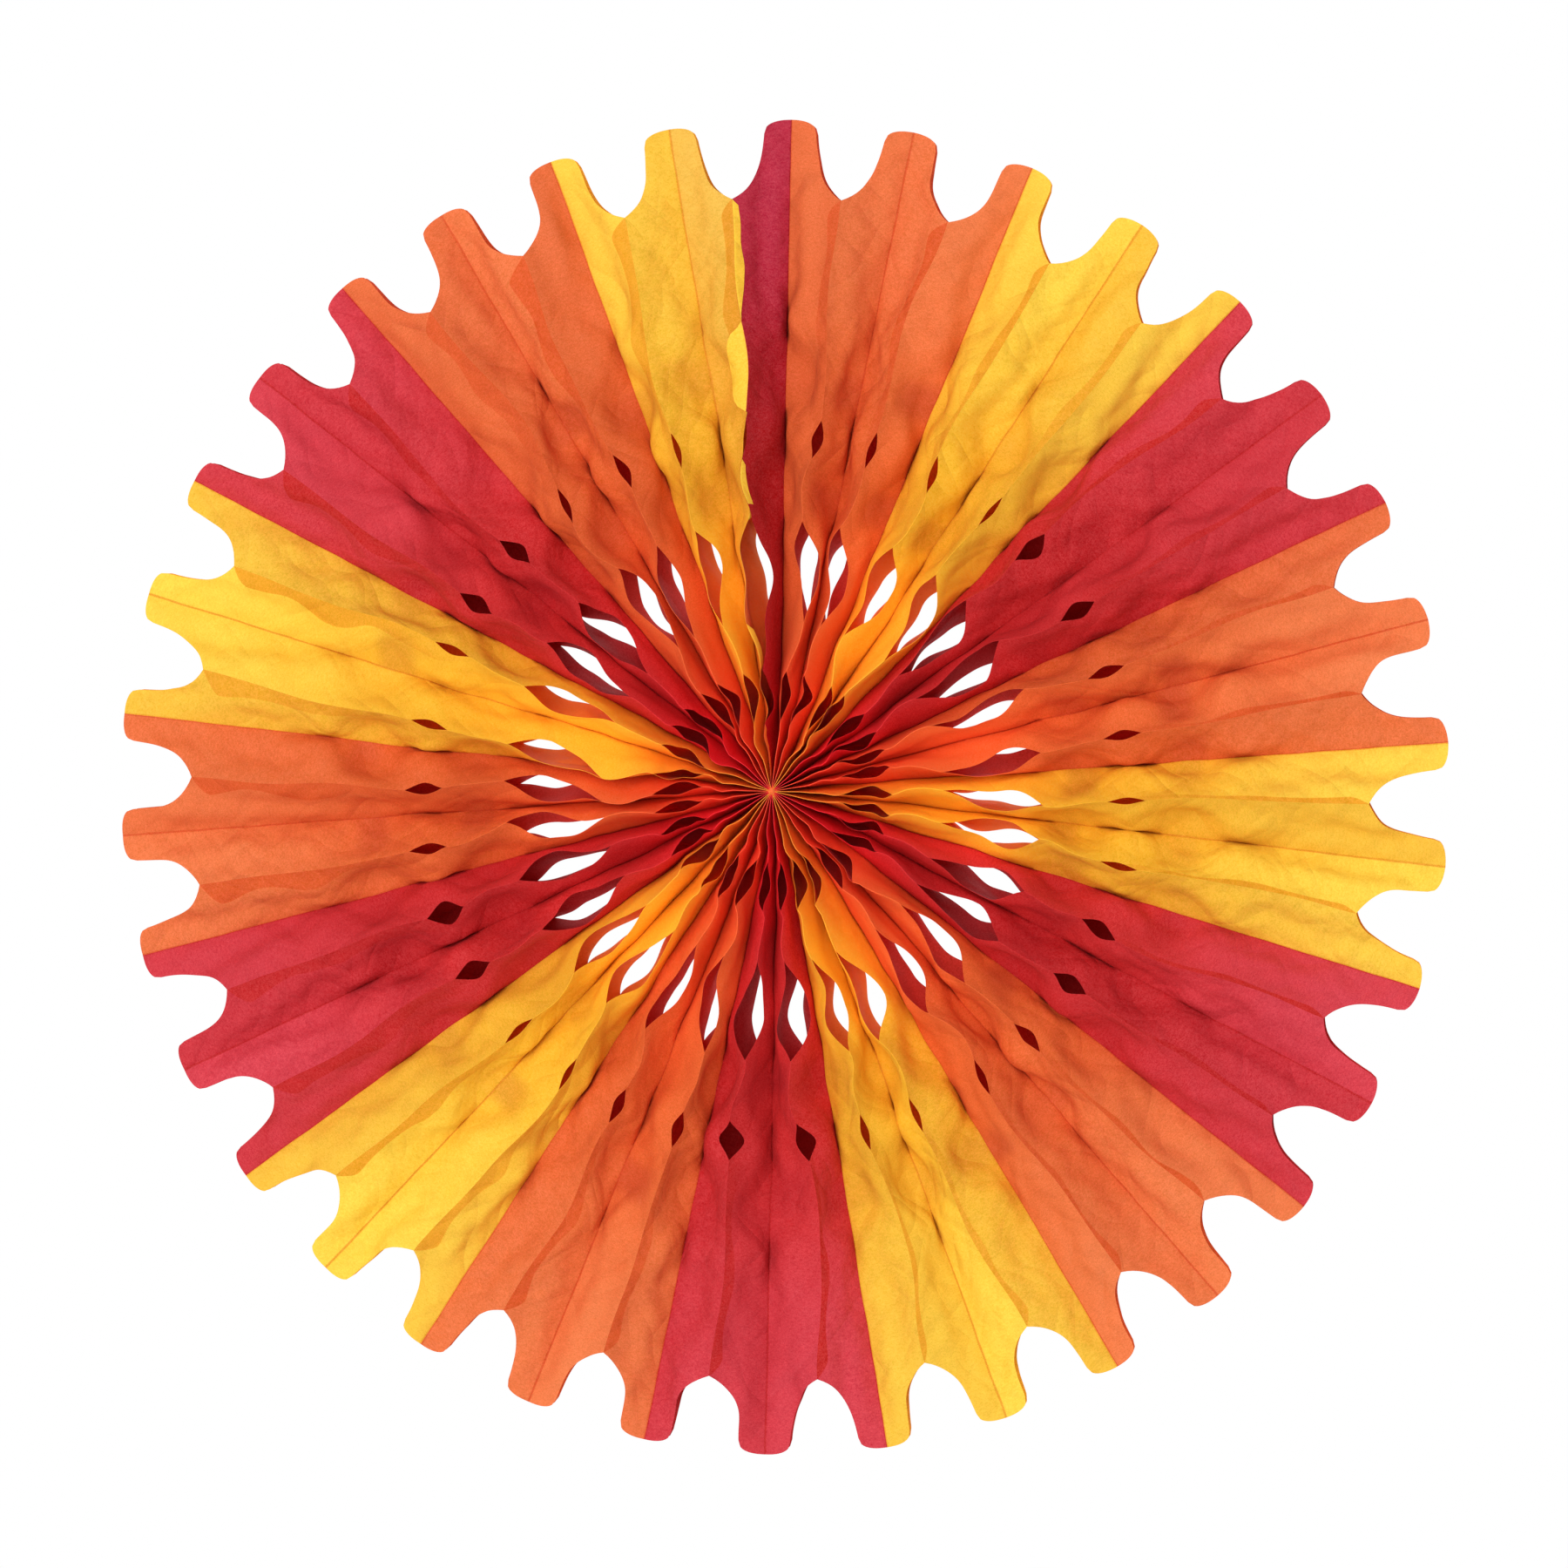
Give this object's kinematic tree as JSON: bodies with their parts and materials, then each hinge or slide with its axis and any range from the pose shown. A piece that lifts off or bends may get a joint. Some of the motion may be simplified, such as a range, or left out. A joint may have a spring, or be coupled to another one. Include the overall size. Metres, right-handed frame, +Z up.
{
  "type": "paper fan medallion",
  "caption": "Round hanging decoration of striped tissue tubes glued side by side round a hub, with eye cuts and a scalloped rim.",
  "frame": {"origin": "middle of the hub, halfway between the front and back ends of the tie", "axes": "+Z up towards the seam where the ring is closed, -Y out of the front face, +X to the right seen from the front"},
  "size_m": [0.635, 0.064, 0.6322],
  "materials": {
    "tissue_red": "soft translucent tissue paper, crumpled",
    "tissue_orange": "soft translucent tissue paper, crumpled",
    "tissue_yellow": "soft translucent tissue paper, crumpled",
    "tie": "twisted tissue paper"
  },
  "bodies": {
    "root": {"end_sheet_red": "tissue_red", "end_sheet_yellow": "tissue_yellow", "hub_tie": "tie", "tube_01_orange": "tissue_orange", "tube_02_orange": "tissue_orange", "tube_03_yellow": "tissue_yellow", "tube_04_yellow": "tissue_yellow", "tube_05_red": "tissue_red", "tube_06_red": "tissue_red", "tube_07_orange": "tissue_orange", "tube_08_orange": "tissue_orange", "tube_09_yellow": "tissue_yellow", "tube_10_yellow": "tissue_yellow", "tube_11_red": "tissue_red", "tube_12_red": "tissue_red", "tube_13_orange": "tissue_orange", "tube_14_orange": "tissue_orange", "tube_15_yellow": "tissue_yellow", "tube_16_yellow": "tissue_yellow", "tube_17_red": "tissue_red", "tube_18_red": "tissue_red", "tube_19_orange": "tissue_orange", "tube_20_orange": "tissue_orange", "tube_21_yellow": "tissue_yellow", "tube_22_yellow": "tissue_yellow", "tube_23_red": "tissue_red", "tube_24_red": "tissue_red", "tube_25_orange": "tissue_orange", "tube_26_orange": "tissue_orange", "tube_27_yellow": "tissue_yellow", "tube_28_yellow": "tissue_yellow", "tube_29_red": "tissue_red", "tube_30_red": "tissue_red", "tube_31_orange": "tissue_orange", "tube_32_orange": "tissue_orange", "tube_33_yellow": "tissue_yellow"}
  },
  "joints": []
}
